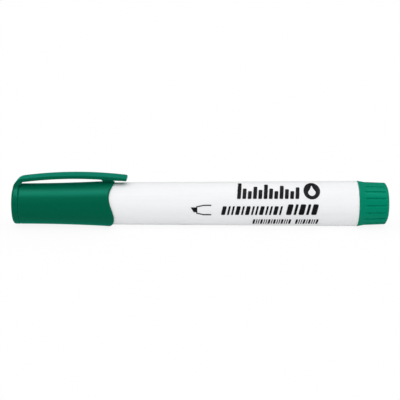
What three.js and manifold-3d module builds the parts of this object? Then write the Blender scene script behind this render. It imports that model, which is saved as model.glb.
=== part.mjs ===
// A capped whiteboard marker with a fibre ink reservoir, as an assembly of separate pieces.
//
// Units are millimetres. The marker lies along X with its cap at -X and its clip on top (+Z); z = 0 is
// the surface it lies on, and x = 0 is half-way along it. Inside the marker's own group, X is a station
// measured from the crown face of the cap, and Z is measured from the marker's axis.

import * as THREE from "three";
import { mergeVertices } from "three/addons/utils/BufferGeometryUtils.js";
import Module from "manifold-3d";

// ---------------------------------------------------------------- driving dimensions

const facets = 48; // flat sides of every large round piece, with one of them facing straight down
const thinFacets = 24; // the same for pieces as thin as the nib
const strawFacets = 12; // and for the breather tube

const overallLength = 137; // crown face to plug face
const plugHeadLength = 10.9; // the part of the end plug that shows behind the barrel
const capLength = 36.3; // crown face to the middle of the cap's wavy mouth

// gaps between pieces
const slideGap = 0.2; // radial, between pieces that slide or turn in each other
const pressGap = 0.12; // radial, between pieces that are pushed together for good
const seatGap = 0.3; // along the axis, or where a curved piece bears on another

// cap shell
const capWall = 1.1;
const mouthWall = 0.44; // where the cap reaches over the barrel
const kneeStation = 18.2; // where the cap starts to flare
const kneeDraft = 0.22; // how much its radius grows from the crown to there
const lobeCount = 3; // waves round the mouth, one of them under the clip
const lobeHeight = 0.85; // each wave, either side of the mouth's middle
const lipRound = 0.9; // length of the rounded edge at the mouth
const lipThickness = 0.12; // flat left at the very edge of the mouth
const lipCover = 2.0; // how far the mouth's middle reaches over the barrel

// crown, the end piece of the cap that the clip grows from
const crownThickness = 2.25;
const crownEdge = 0.9; // rounding of the crown's rim
const crownFace = 1.2; // thickness of its end wall
const jointGroove = 0.3; // the line that shows between crown and shell
const spigotLength = 3.0;
const spigotWall = 1.0;

// clip
const clipWidth = 6.8;
const clipThickness = 1.33;
const clipOverhang = 5.3; // from the middle of the cap's mouth to its free end
const clipPeakStation = 23; // top of its arch
const clipRise = 2.9; // from the cap's widest point up to that top
const clipDrop = 1.16; // from that top down to the free end
const clipRootInset = 0.4; // from the crown's face to the root
const clipRootRound = 4.0; // radius where the crown turns up into the clip
const clipRootLength = 3.0;
const clipSlit = 0.3; // gap at the flexing root
const flexStation = 6.0;
const padLength = 4.4; // the pad under the clip that presses on the cap
const padOverhang = 0.7; // from the middle of the cap's mouth to its rear end
const padWidth = 4.2;
const tipLength = 4.2; // flat underside past the pad

// cap liner, the inner cup that seals round the nib
const linerWall = 0.9;
const linerFlange = 1.5;
const linerRoom = 0.63; // radial, between the liner and the crown end of the shell
const linerTipRoom = 4.9; // free space ahead of the nib

// barrel
const barrelFrontRadius = 7.73;
const barrelDraft = 0.6; // how much the radius grows to the rear
const barrelWall = 1.25;
const barrelRibs = 4; // inside, to centre the reservoir
const barrelRibWidth = 1.0;

// nib holder, pushed into the front of the barrel
const holderSpigot = 10.0;
const holderFlange = 2.2;
const holderBead = 0.9; // the snap bead in front of the flange
const beadStep = 0.9; // how far the flange stands out of the cone
const sealStep = 0.9; // how far the land that the liner seals on stands out of the snout
const sealLength = 3.2;
const snoutLength = 1.6;
const snoutWall = 1.1;
const ventCount = 3; // air slots beside the nib
const ventSize = 0.8;

// nib
const nibRadius = 2.5;
const nibReach = 6.4; // how far it stands out of the holder
const nibBevel = 3.4; // length of the flattened chisel
const nibEdge = 1.7; // thickness of the writing edge
const nibSlant = 2.4; // how much further the upper corner of the edge reaches
const nibTail = 6.5; // the part inside the reservoir
const nibPoint = 2.0; // its tapered end

// reservoir
const ribHeight = 0.25; // of the barrel's ribs at the front, where they are lowest
const wrapThickness = 0.15;
const breatherRadius = 0.6;
const breatherBore = 0.35;

// end plug
const plugRimInset = 0.03; // from the barrel's surface to the plug's flared edge
const plugRimLength = 2.4;
const plugFlare = 0.32; // how far that edge stands out of the neck behind it
const plugDraft = 0.32; // how much the radius shrinks from the neck to the end
const plugEdge = 1.1; // rounding of its end
const plugWall = 1.4;
const plugSkirt = 8.0; // pushed into the barrel
const plugSkirtWall = 1.0;
const plugFins = 2; // crossed walls that hold the reservoir forward
const plugFinThickness = 1.0;
const fluteCount = 18;
const fluteRadius = 0.42;
const fluteDepth = 0.26;
const fluteMargin = 1.1; // plain band at the end of the plug

// ---------------------------------------------------------------- places that follow from them

/** Radius part of the way along a straight taper. */
function taper(station, from, to, fromRadius, toRadius) {
  return fromRadius + ((toRadius - fromRadius) * (station - from)) / (to - from);
}

// stations
const mouthStation = capLength;
const flareStation = mouthStation - lipRound;
const shellStart = crownThickness + jointGroove;
const barrelFront = mouthStation - lobeHeight - lipCover;
const barrelRear = overallLength - plugHeadLength;
const barrelLength = barrelRear - barrelFront;
const flangeFront = barrelFront - holderFlange;
const beadFront = flangeFront - holderBead;
const spigotEnd = crownThickness + spigotLength;
const linerStart = spigotEnd + seatGap;
const linerFace = linerStart + linerWall; // inside of the liner's closed end
const nibTip = linerFace + linerTipRoom;
const snoutFront = nibTip + nibReach;
const sealFront = snoutFront + snoutLength;
const coneFront = sealFront + sealLength;
const linerMouth = coneFront - seatGap;
const holderRear = barrelFront + holderSpigot;
const reservoirFront = holderRear + seatGap;
const skirtFront = barrelRear - plugSkirt;
const reservoirRear = skirtFront - seatGap;
const reservoirLength = reservoirRear - reservoirFront;
const clipEnd = mouthStation + clipOverhang;
const padEnd = mouthStation + padOverhang;
const padStart = padEnd - padLength;

// radii, from the nib out to the cap's closed end
const nibBore = nibRadius + pressGap;
const snoutRadius = nibBore + snoutWall;
const sealRadius = snoutRadius + sealStep;
const linerBore = sealRadius + slideGap;
const linerRadius = linerBore + linerWall;
const crownRadius = linerRadius + linerRoom + capWall;
const kneeRadius = crownRadius + kneeDraft;

/** Outer radius of the barrel at a distance behind its front edge. */
function barrelRadius(distance) {
  return barrelFrontRadius + (barrelDraft * distance) / barrelLength;
}

const barrelBore = (distance) => barrelRadius(distance) - barrelWall;
const lipBore = barrelRadius(lipCover) + slideGap;
const flareRadius = lipBore + mouthWall; // the cap's widest point, just behind its rounded mouth
const capRest = flareRadius * Math.cos(Math.PI / facets); // axis height when the cap's flat side is down

/** Outer radius of the cap shell at a station: a slight draft, then a flare towards the mouth. */
function capRadius(station) {
  return station < kneeStation
    ? taper(station, shellStart, kneeStation, crownRadius, kneeRadius)
    : taper(station, kneeStation, flareStation, kneeRadius, flareRadius);
}

const capBore = (station) => capRadius(station) - capWall;
const flangeRadius = capBore(flangeFront) - slideGap;
const ribTop = barrelBore(0) - ribHeight;
const wrapRadius = ribTop - slideGap;
const reservoirRadius = wrapRadius - wrapThickness - pressGap;
const breatherHeight = reservoirRadius - breatherRadius; // its centre: it lies just inside the wrap
const plugRimRadius = barrelRadius(barrelLength) - plugRimInset;
const plugNeckRadius = plugRimRadius - plugFlare;
const plugEndRadius = plugNeckRadius - plugDraft;

// the clip's arch, through its top and the upper edge of its free end
const clipPeakHeight = flareRadius + clipRise;
const clipArch = ((clipEnd - clipPeakStation) ** 2 + clipDrop ** 2) / (2 * clipDrop);

// ---------------------------------------------------------------- shape helpers

const wasm = await Module();
wasm.setup();

/**
 * A piece turned on the marker's axis from a profile of [station, radius] points. The profile runs
 * rearwards along the outside first.
 */
function turned(profile, sides = facets) {
  const points = profile.map(([station, radius]) => new THREE.Vector2(radius, station));
  const flatDown = Math.PI / sides;
  return new THREE.LatheGeometry(points, sides, flatDown).rotateZ(-Math.PI / 2);
}

/** Closes a ring profile on itself. */
const ring = (profile) => [...profile, profile[0]];

/** Points of a quarter round between two profile points, bulging outwards. */
function quarterRound(from, to, steps) {
  const [a, b] = [from, to];
  const outward = a[1] < b[1];
  return Array.from({ length: steps - 1 }, (_, i) => {
    const turn = ((i + 1) / steps) * (Math.PI / 2);
    const [along, across] = outward
      ? [1 - Math.cos(turn), Math.sin(turn)]
      : [Math.sin(turn), 1 - Math.cos(turn)];
    return [a[0] + (b[0] - a[0]) * along, a[1] + (b[1] - a[1]) * across];
  });
}

/** A side outline in the XZ plane given its width across the marker. */
function crosswise(shape, width, curveSegments = 24) {
  return new THREE.ExtrudeGeometry(shape, { depth: width, bevelEnabled: false, curveSegments })
    .rotateX(Math.PI / 2)
    .translate(0, width / 2, 0);
}

/** A box given by its size and centre. */
function block(size, centre) {
  return new THREE.BoxGeometry(...size).translate(...centre);
}

/** A round bar along X. */
function bar(radius, from, to, sides) {
  return new THREE.CylinderGeometry(radius, radius, to - from, sides)
    .rotateZ(-Math.PI / 2)
    .translate((from + to) / 2, 0, 0);
}

function toSolid(geometry) {
  const bare = geometry.clone();
  bare.deleteAttribute("normal");
  bare.deleteAttribute("uv");
  const merged = mergeVertices(bare, 1e-4);
  return new wasm.Manifold(
    new wasm.Mesh({
      numProp: 3,
      vertProperties: new Float32Array(merged.attributes.position.array),
      triVerts: new Uint32Array(merged.index.array),
    }),
  );
}

function toGeometry(solid) {
  const mesh = solid.getMesh();
  const geometry = new THREE.BufferGeometry()
    .setAttribute("position", new THREE.BufferAttribute(mesh.vertProperties, 3))
    .setIndex(new THREE.BufferAttribute(mesh.triVerts, 1))
    .toNonIndexed();
  geometry.computeVertexNormals();
  return geometry;
}

const join = (first, ...others) =>
  toGeometry(others.reduce((solid, other) => solid.add(toSolid(other)), toSolid(first)));

const cut = (first, ...others) =>
  toGeometry(others.reduce((solid, other) => solid.subtract(toSolid(other)), toSolid(first)));

const common = (first, ...others) =>
  toGeometry(others.reduce((solid, other) => solid.intersect(toSolid(other)), toSolid(first)));

// ---------------------------------------------------------------- materials

const plastic = (color, roughness) =>
  new THREE.MeshStandardMaterial({ color, roughness, metalness: 0 });

const materials = {
  capGreen: plastic(0x00664a, 0.38),
  plugGreen: plastic(0x007a5a, 0.42),
  barrelWhite: plastic(0xf2f3f5, 0.3),
  holderWhite: plastic(0xe4e5e3, 0.45),
  linerNatural: plastic(0xdcded8, 0.6),
  inkedFelt: plastic(0x04402f, 0.95),
  inkedFibre: plastic(0x0d5a43, 0.95),
  clearFilm: plastic(0xd8e6e0, 0.2),
};

// ---------------------------------------------------------------- barrel group

/** The drafted tube that the hand holds, with ribs inside that centre the reservoir. */
function barrelGeometry() {
  const tube = turned(
    ring([
      [0, barrelFrontRadius],
      [barrelLength, barrelRadius(barrelLength)],
      [barrelLength, barrelBore(barrelLength)],
      [0, barrelBore(0)],
    ]),
  );
  const ribStart = reservoirFront - barrelFront + seatGap;
  const ribEnd = reservoirRear - barrelFront - seatGap;
  const ribFoot = barrelBore(ribEnd) + barrelWall / 2;
  const ribSpan = ribFoot - ribTop;
  const ribs = Array.from({ length: barrelRibs }, (_, i) =>
    block(
      [ribEnd - ribStart, barrelRibWidth, ribSpan],
      [(ribStart + ribEnd) / 2, 0, ribTop + ribSpan / 2],
    ).rotateX(((i + 0.5) * 2 * Math.PI) / barrelRibs),
  );
  return join(tube, ...ribs);
}

/** The front section: it plugs into the barrel, carries the nib and gives the cap its sealing land. */
function nibHolderGeometry() {
  const at = (station) => station - barrelFront;
  const coneRadius = flangeRadius - beadStep;
  const beadRadius = (coneRadius + flangeRadius) / 2;
  const spigotRadius = barrelBore(0) - pressGap;
  const rearBore = spigotRadius - barrelWall;
  const body = turned(
    ring([
      [at(snoutFront), snoutRadius],
      [at(sealFront), sealRadius],
      [at(coneFront), sealRadius],
      [at(beadFront), coneRadius],
      [at(beadFront + holderBead / 2), beadRadius],
      [at(flangeFront), coneRadius],
      [at(flangeFront), flangeRadius],
      [-pressGap, flangeRadius],
      [-pressGap, spigotRadius],
      [holderSpigot, spigotRadius],
      [holderSpigot, rearBore],
      [pressGap, rearBore],
      [-holderFlange, nibBore],
      [at(snoutFront), nibBore],
    ]),
  );
  const ventLength = 2 * (sealLength + snoutLength);
  const vents = Array.from({ length: ventCount }, (_, i) =>
    block([ventLength, ventSize, ventSize], [at(snoutFront), 0, nibBore]).rotateX(
      ((i + 0.5) * 2 * Math.PI) / ventCount,
    ),
  );
  return cut(body, ...vents);
}

/** A felt rod, flattened and slanted to a chisel in front and tapered behind to pierce the reservoir. */
function nibGeometry() {
  const length = nibReach + (reservoirFront - snoutFront) + nibTail;
  const rod = turned(
    [
      [0, 0],
      [0, nibRadius],
      [length - nibPoint, nibRadius],
      [length, nibRadius / 2],
      [length, 0],
    ],
    thinFacets,
  );
  const beyond = 2 * nibRadius;
  const side = new THREE.Shape()
    .moveTo(0, beyond)
    .lineTo(0, nibRadius)
    .lineTo(nibSlant, -nibRadius)
    .lineTo(nibSlant, -beyond)
    .lineTo(length + beyond, -beyond)
    .lineTo(length + beyond, beyond);
  const plan = new THREE.Shape()
    .moveTo(-beyond, -nibEdge / 2)
    .lineTo(0, -nibEdge / 2)
    .lineTo(nibBevel + nibSlant, -beyond / 2)
    .lineTo(length + beyond, -beyond)
    .lineTo(length + beyond, beyond)
    .lineTo(nibBevel + nibSlant, beyond / 2)
    .lineTo(0, nibEdge / 2)
    .lineTo(-beyond, nibEdge / 2);
  const flattened = new THREE.ExtrudeGeometry(plan, { depth: 2 * beyond, bevelEnabled: false });
  return common(rod, crosswise(side, 2 * beyond), flattened.translate(0, 0, -beyond));
}

/** The bundle of fibres that holds the ink, with a seat for the nib and a groove for the breather. */
function reservoirCoreGeometry() {
  const core = turned([
    [0, nibBore],
    [0, reservoirRadius],
    [reservoirLength, reservoirRadius],
    [reservoirLength, 0],
    [nibTail + seatGap, 0],
    [nibTail + seatGap, nibBore],
    [0, nibBore],
  ]);
  const groove = bar(breatherRadius + pressGap, -seatGap, reservoirLength + seatGap, strawFacets);
  return cut(core, groove.translate(0, 0, breatherHeight));
}

/** The plastic film rolled round the fibres. */
function reservoirWrapGeometry() {
  const inside = wrapRadius - wrapThickness;
  return turned(
    ring([
      [0, wrapRadius],
      [reservoirLength, wrapRadius],
      [reservoirLength, inside],
      [0, inside],
    ]),
  );
}

/** The fine tube that lets air past the fibres when the cap is pushed on. */
function breatherGeometry() {
  return turned(
    ring([
      [0, breatherRadius],
      [reservoirLength, breatherRadius],
      [reservoirLength, breatherBore],
      [0, breatherBore],
    ]),
    strawFacets,
  );
}

/**
 * The fluted plug that closes the back of the barrel. Its origin is in the plane of the barrel's rear
 * edge.
 */
function endPlugGeometry() {
  const flatRadius = plugEndRadius - plugEdge;
  const roundStart = plugHeadLength - plugEdge;
  const skirtRadius = barrelBore(barrelLength - plugSkirt) - pressGap;
  const bore = skirtRadius - plugSkirtWall;
  const body = turned([
    [-plugSkirt, skirtRadius - plugSkirtWall],
    [-plugSkirt, skirtRadius],
    [seatGap / 2, skirtRadius],
    [seatGap / 2, plugRimRadius],
    [plugRimLength / 4, (plugRimRadius + plugNeckRadius) / 2],
    [plugRimLength, plugNeckRadius],
    [roundStart, plugEndRadius],
    ...quarterRound([roundStart, plugEndRadius], [plugHeadLength, flatRadius], 3),
    [plugHeadLength, flatRadius],
    [plugHeadLength, 0],
    [plugHeadLength - plugWall, 0],
    [plugHeadLength - plugWall, bore],
    [-plugSkirt, bore],
  ]);
  const fluteStart = plugRimLength;
  const fluteEnd = plugHeadLength - fluteMargin;
  const draft = Math.atan2(plugNeckRadius - plugEndRadius, roundStart - plugRimLength);
  const middle = (fluteStart + fluteEnd) / 2;
  const surface = taper(middle, plugRimLength, roundStart, plugNeckRadius, plugEndRadius);
  const flutes = Array.from({ length: fluteCount }, (_, i) =>
    bar(fluteRadius, fluteStart - middle, fluteEnd - middle, 8)
      .rotateY(draft)
      .translate(middle, 0, surface + fluteRadius - fluteDepth)
      .rotateX((i * 2 * Math.PI) / fluteCount),
  );
  const finSpan = 2 * bore + plugSkirtWall;
  const finLength = plugSkirt + plugHeadLength - plugWall / 2;
  const fins = Array.from({ length: plugFins }, (_, i) =>
    block([finLength, finSpan, plugFinThickness], [finLength / 2 - plugSkirt, 0, 0]).rotateX(
      (i * Math.PI) / plugFins,
    ),
  );
  const fluted = cut(body, ...flutes);
  return join(fluted, ...fins);
}

// ---------------------------------------------------------------- cap group

/** The cap's tube. Its mouth waves along the axis, and its edge is rounded down on to the barrel. */
function capShellGeometry() {
  const lipTop = lipBore + lipThickness;
  const rebate = barrelFront - seatGap;
  const shell = turned(
    ring([
      [shellStart, crownRadius],
      [kneeStation, kneeRadius],
      [flareStation, flareRadius],
      ...quarterRound([flareStation, flareRadius], [mouthStation, lipTop], 3),
      [mouthStation, lipTop],
      [mouthStation, lipBore],
      [rebate, lipBore],
      [rebate, capBore(rebate)],
      [kneeStation, capBore(kneeStation)],
      [shellStart, capBore(shellStart)],
    ]),
  );
  const position = shell.getAttribute("position");
  for (let i = 0; i < position.count; i++) {
    const [x, y, z] = [position.getX(i), position.getY(i), position.getZ(i)];
    const inMouth = x > flareStation - lobeHeight / 2;
    const wave = lobeHeight * Math.cos(lobeCount * Math.atan2(y, z));
    if (inMouth) position.setX(i, x + wave);
  }
  return shell;
}

/** Height of the clip's upper face above the axis at a station, on its shallow arch. */
function clipTop(station) {
  const away = station - clipPeakStation;
  return clipPeakHeight - clipArch + Math.sqrt(clipArch ** 2 - away ** 2);
}

/** Side outline of the clip's arch between two stations. */
function clipStrip(from, to) {
  const centre = clipPeakHeight - clipArch;
  const angle = (station, radius) => Math.acos((station - clipPeakStation) / radius);
  const under = clipArch - clipThickness;
  return new THREE.Shape()
    .absarc(clipPeakStation, centre, clipArch, angle(from, clipArch), angle(to, clipArch), true)
    .absarc(clipPeakStation, centre, under, angle(to, under), angle(from, under), false);
}

/** The crown: the cap's end wall and spigot, and the root that carries the clip. */
function capCrownGeometry() {
  const rim = crownRadius;
  const spigot = capBore(shellStart) - pressGap;
  const body = turned([
    [0, 0],
    [0, rim - crownEdge],
    ...quarterRound([0, rim - crownEdge], [crownEdge, rim], 3),
    [crownEdge, rim],
    [crownThickness, rim],
    [crownThickness, spigot],
    [spigotEnd, spigot],
    [spigotEnd, spigot - spigotWall],
    [crownFace, spigot - spigotWall],
    [crownFace, 0],
  ]);
  const roundEnd = clipRootInset + clipRootRound;
  const roundCentre = clipTop(roundEnd) - clipRootRound;
  const overShell = crownRadius + seatGap;
  const root = new THREE.Shape()
    .moveTo(crownFace, rim / 2)
    .lineTo(clipRootInset, rim / 2)
    .lineTo(clipRootInset, roundCentre)
    .absarc(roundEnd, roundCentre, clipRootRound, Math.PI, Math.PI / 2, true)
    .lineTo(flexStation - clipSlit / 2, clipTop(flexStation - clipSlit / 2))
    .lineTo(flexStation - clipSlit / 2, clipTop(flexStation) - clipThickness)
    .lineTo(clipRootLength, clipTop(clipRootLength) - clipThickness)
    .lineTo(clipRootLength, overShell)
    .lineTo(crownThickness, overShell)
    .lineTo(crownThickness, rim - crownEdge)
    .lineTo(crownFace, rim - crownEdge);
  return join(body, crosswise(root, clipWidth, 6));
}

/** The clip's springy arm, with the pad near its end that grips a pocket. */
function clipGeometry() {
  const from = flexStation + clipSlit / 2;
  const tipStart = clipEnd - tipLength;
  const arm = crosswise(clipStrip(from, clipEnd), clipWidth, 16);
  const padTop = clipTop(padStart) - clipThickness / 2;
  const padFoot = flareRadius + seatGap;
  const padCorner = (padTop - padFoot) / 3;
  const pad = new THREE.Shape()
    .moveTo(padStart, padTop)
    .lineTo(padStart, padFoot + padCorner)
    .lineTo(padStart + padCorner, padFoot)
    .lineTo(padEnd - padCorner, padFoot)
    .lineTo(padEnd, padFoot + padCorner)
    .lineTo(padEnd, padTop);
  const underTip = clipTop(tipStart) - clipThickness;
  const trim = block(
    [2 * tipLength, 2 * clipWidth, clipThickness],
    [clipEnd, 0, underTip - clipThickness / 2],
  );
  return join(cut(arm, trim), crosswise(pad, padWidth));
}

/** The inner cup: closed ahead of the nib, and sealing on the nib holder's land at its mouth. */
function capLinerGeometry() {
  const flange = capBore(linerMouth - linerFlange) - slideGap;
  return turned([
    [linerStart, 0],
    [linerStart, linerRadius - linerWall / 2],
    [linerStart + linerWall / 2, linerRadius],
    [linerMouth - linerFlange, linerRadius],
    [linerMouth - linerFlange, flange],
    [linerMouth, flange],
    [linerMouth, linerBore],
    [linerFace, linerBore],
    [linerFace, 0],
  ]);
}

// ---------------------------------------------------------------- assembly

/** A named piece, placed at a station and a height above the axis. */
function piece(name, geometry, material, station = 0, height = 0) {
  const mesh = new THREE.Mesh(geometry, material);
  mesh.name = name;
  mesh.position.set(station, 0, height);
  return mesh;
}

const barrelGroup = new THREE.Group().add(
  piece("barrel", barrelGeometry(), materials.barrelWhite, barrelFront),
  piece("nib_holder", nibHolderGeometry(), materials.holderWhite, barrelFront),
  piece("nib", nibGeometry(), materials.inkedFelt, nibTip),
  piece("reservoir_core", reservoirCoreGeometry(), materials.inkedFibre, reservoirFront),
  piece("reservoir_wrap", reservoirWrapGeometry(), materials.clearFilm, reservoirFront),
  piece("breather_tube", breatherGeometry(), materials.clearFilm, reservoirFront, breatherHeight),
  piece("end_plug", endPlugGeometry(), materials.plugGreen, barrelRear),
);

const capGroup = new THREE.Group().add(
  piece("cap_shell", capShellGeometry(), materials.capGreen),
  piece("cap_crown", capCrownGeometry(), materials.capGreen),
  piece("clip", clipGeometry(), materials.capGreen),
  piece("cap_liner", capLinerGeometry(), materials.linerNatural),
);

const marker = new THREE.Group().add(barrelGroup, capGroup);
marker.position.set(-overallLength / 2, 0, capRest);

export default new THREE.Group().add(marker);
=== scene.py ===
"""The looks of a whiteboard marker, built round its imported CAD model.

Lengths in this file are millimetres until Datum.place turns them into metres of the frame.
A station is the distance behind the cap's flat end, and a height is measured from the axis.
"""

import logging
import math
from collections.abc import Callable, Sequence
from dataclasses import dataclass
from enum import Enum

import bpy
import numpy as np
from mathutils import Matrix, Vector


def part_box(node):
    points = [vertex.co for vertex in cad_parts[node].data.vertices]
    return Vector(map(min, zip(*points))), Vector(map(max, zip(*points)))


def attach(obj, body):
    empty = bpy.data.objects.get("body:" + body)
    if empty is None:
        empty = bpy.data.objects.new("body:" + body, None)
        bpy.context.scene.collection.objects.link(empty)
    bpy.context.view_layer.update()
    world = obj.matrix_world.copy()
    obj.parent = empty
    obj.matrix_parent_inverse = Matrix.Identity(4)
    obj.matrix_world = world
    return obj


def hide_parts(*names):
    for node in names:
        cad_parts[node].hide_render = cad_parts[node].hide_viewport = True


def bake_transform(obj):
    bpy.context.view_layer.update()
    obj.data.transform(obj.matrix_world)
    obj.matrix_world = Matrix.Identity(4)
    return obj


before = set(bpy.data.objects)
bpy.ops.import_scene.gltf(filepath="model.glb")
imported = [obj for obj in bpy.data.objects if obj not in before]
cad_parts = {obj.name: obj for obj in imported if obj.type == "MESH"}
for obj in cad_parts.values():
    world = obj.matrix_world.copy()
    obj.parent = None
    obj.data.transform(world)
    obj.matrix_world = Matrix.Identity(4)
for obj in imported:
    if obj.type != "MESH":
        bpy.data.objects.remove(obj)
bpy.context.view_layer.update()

MM = 0.001
TURN = 2 * math.pi
INSCRIBED = math.cos(math.pi / 48)
SHARP_ANGLE = math.radians(38)
VIEW_TILT = math.radians(14)
log = logging.getLogger("marker")

Colour = tuple[float, float, float]
Grid = np.ndarray
Reshape = Callable[[Grid, Grid, Grid], tuple[Grid, Grid]]


class Body(Enum):
    """The CAD bodies that the pieces ride on."""

    PEN = "pen"
    LINER = "liner"
    CAP = "cap"
    CLIP = "clip"


class LampUse(Enum):
    """What a lamp is for."""

    LIGHT = "light"
    GLOSS = "gloss"


# ---------------------------------------------------------------- shapes


def smoothstep(value: np.ndarray, low: float, high: float) -> np.ndarray:
    """Eases from 0 at low to 1 at high: t squared times (3 - 2t).

    Args:
        value: The places asked about.
        low: Where the ease starts.
        high: Where it ends; it may be below low, and the ease then falls.

    Returns:
        The ease at each place.
    """
    t = np.clip((np.asarray(value, float) - low) / (high - low), 0, 1)
    return t * t * (3 - 2 * t)


@dataclass(frozen=True)
class Datum:
    """Where the marker lies in the frame: the x of its flat cap end and the height of its axis."""

    face: float
    axis: float

    @classmethod
    def from_frame(cls) -> "Datum":
        """Reads both from the boxes of the CAD nodes."""
        low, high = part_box("barrel")
        return cls(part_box("cap_crown")[0].x / MM, (low.z + high.z) / 2 / MM)

    def span(self, node: str) -> tuple[float, float]:
        """Gives the stations of a CAD node's front and rear."""
        low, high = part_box(node)
        return low.x / MM - self.face, high.x / MM - self.face

    def place(self, station: np.ndarray, across: np.ndarray, height: np.ndarray) -> np.ndarray:
        """Turns stations, sideways distances and heights into frame points.

        Args:
            station: Distances behind the cap's flat end.
            across: Sideways distances, positive away from the front.
            height: Heights above the axis.

        Returns:
            An array of points in metres, with x, y, z last.
        """
        return np.stack([station + self.face, across + 0 * station, height + self.axis], axis=-1) * MM


@dataclass
class Surface:
    """A closed surface: its vertices in metres, its faces, and how near each vertex is to an edge."""

    vertices: np.ndarray
    faces: list[list[int]]
    edge: np.ndarray

    @staticmethod
    def joined(parts: Sequence["Surface"]) -> "Surface":
        """Puts several closed surfaces side by side in one.

        Args:
            parts: The surfaces, in order.

        Returns:
            One surface that holds them all.
        """
        starts = np.cumsum([0] + [len(part.vertices) for part in parts])
        faces = [
            [index + start for index in face]
            for part, start in zip(parts, starts.tolist())
            for face in part.faces
        ]
        return Surface(
            np.concatenate([part.vertices for part in parts]),
            faces,
            np.concatenate([part.edge for part in parts]),
        )


def skin(rows: np.ndarray, edge: np.ndarray, poles: bool) -> Surface:
    """Covers a grid of points that closes across its columns with faces that look outwards.

    Neighbouring points of neighbouring rows make a four-sided face. Where the rows end in poles, the
    first and last row are single points, and triangles close the surface on them. Otherwise the last
    row joins the first. The surface is turned over if the volume that it encloses comes out negative.

    Args:
        rows: Points of shape (rows, columns, 3), in metres.
        edge: The edge mark of each row.
        poles: True where the first and last row are poles.

    Returns:
        The closed surface.
    """
    columns = rows.shape[1]
    body = rows[1:-1] if poles else rows
    marks = edge[1:-1] if poles else edge
    index = np.arange(body.shape[0] * columns).reshape(body.shape[0], columns)
    here, there = (index[:-1], index[1:]) if poles else (index, np.roll(index, -1, axis=0))
    ahead = np.roll(here, -1, axis=1)
    across = np.roll(there, -1, axis=1)
    quads = np.stack([here, ahead, across, there], axis=-1).reshape(-1, 4)
    points = body.reshape(-1, 3)
    weights = np.repeat(marks, columns)
    triangles = np.zeros((0, 3), int)
    if poles:
        first, last = len(points), len(points) + 1
        points = np.concatenate([points, rows[0].mean(axis=0)[None], rows[-1].mean(axis=0)[None]])
        weights = np.concatenate([weights, edge[[0, -1]]])
        near, far = index[0], index[-1]
        triangles = np.concatenate(
            [
                np.stack([np.full(columns, first), np.roll(near, -1), near], axis=-1),
                np.stack([np.full(columns, last), far, np.roll(far, -1)], axis=-1),
            ]
        )
    halves = np.concatenate([quads[:, [0, 1, 2]], quads[:, [0, 2, 3]], triangles])
    a, b, c = (points[halves[:, i]] for i in range(3))
    if np.einsum("ij,ij->i", a, np.cross(b, c)).sum() < 0:
        quads, triangles = quads[:, ::-1], triangles[:, ::-1]
    return Surface(points, quads.tolist() + triangles.tolist(), weights)


@dataclass(frozen=True)
class Corner:
    """A corner of an outline: its station, its distance from the axis and how far it is rounded."""

    along: float
    out: float
    round: float = 0.0


@dataclass(frozen=True)
class Outline:
    """A line of points, and a mark for each of them that is 1 on a rounded corner."""

    along: np.ndarray
    out: np.ndarray
    edge: np.ndarray


def outline(
    corners: Sequence[Corner], closed: bool, step: float = 0.9, arc_steps: int = 6, guard: float = 0.07
) -> Outline:
    """Draws straight runs between corners, with an arc that touches both runs at each rounded one.

    An arc of radius r starts r times the tangent of half the turn before the corner. Runs are cut into
    equal steps, with one more point close to each end, so that shading stays flat up to the arc.

    Args:
        corners: The corners, in order.
        closed: True if the last corner runs back to the first.
        step: The longest step on a run.
        arc_steps: The number of steps on an arc.
        guard: How close the extra points stand to a run's ends.

    Returns:
        The outline's points and marks.
    """
    places = [np.array([corner.along, corner.out]) for corner in corners]
    count = len(corners)
    arcs: list[np.ndarray] = []
    for i, corner in enumerate(corners):
        if corner.round == 0 or (not closed and i in (0, count - 1)):
            arcs.append(places[i][None])
            continue
        back = places[i - 1] - places[i]
        on = places[(i + 1) % count] - places[i]
        back, on = back / np.linalg.norm(back), on / np.linalg.norm(on)
        half = math.acos(float(np.clip(back @ on, -1, 1))) / 2
        middle = places[i] + (back + on) / np.linalg.norm(back + on) * corner.round / math.sin(half)
        start = places[i] + back * corner.round / math.tan(half)
        sweep = math.pi - 2 * half
        side = np.sign(back[0] * on[1] - back[1] * on[0])
        angle = math.atan2(*(start - middle)[::-1]) - side * np.linspace(0, sweep, arc_steps + 1)
        arcs.append(middle + corner.round * np.stack([np.cos(angle), np.sin(angle)], axis=-1))
    points: list[np.ndarray] = []
    marks: list[np.ndarray] = []
    for i, arc in enumerate(arcs):
        points.append(arc)
        marks.append(np.full(len(arc), 1.0 if len(arc) > 1 else 0.0))
        if i == count - 1 and not closed:
            break
        after = arcs[(i + 1) % count][0]
        length = float(np.linalg.norm(after - arc[-1]))
        near_end = min(guard, length / 4)
        cuts = np.linspace(0, length, max(1, math.ceil(length / step)) + 1)[1:-1]
        places_on = np.unique(np.concatenate([[near_end, length - near_end], cuts]))
        points.append(arc[-1] + (after - arc[-1]) * (places_on / length)[:, None])
        marks.append(np.zeros(len(places_on)))
    line = np.concatenate(points)
    return Outline(line[:, 0], line[:, 1], np.concatenate(marks))


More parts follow.
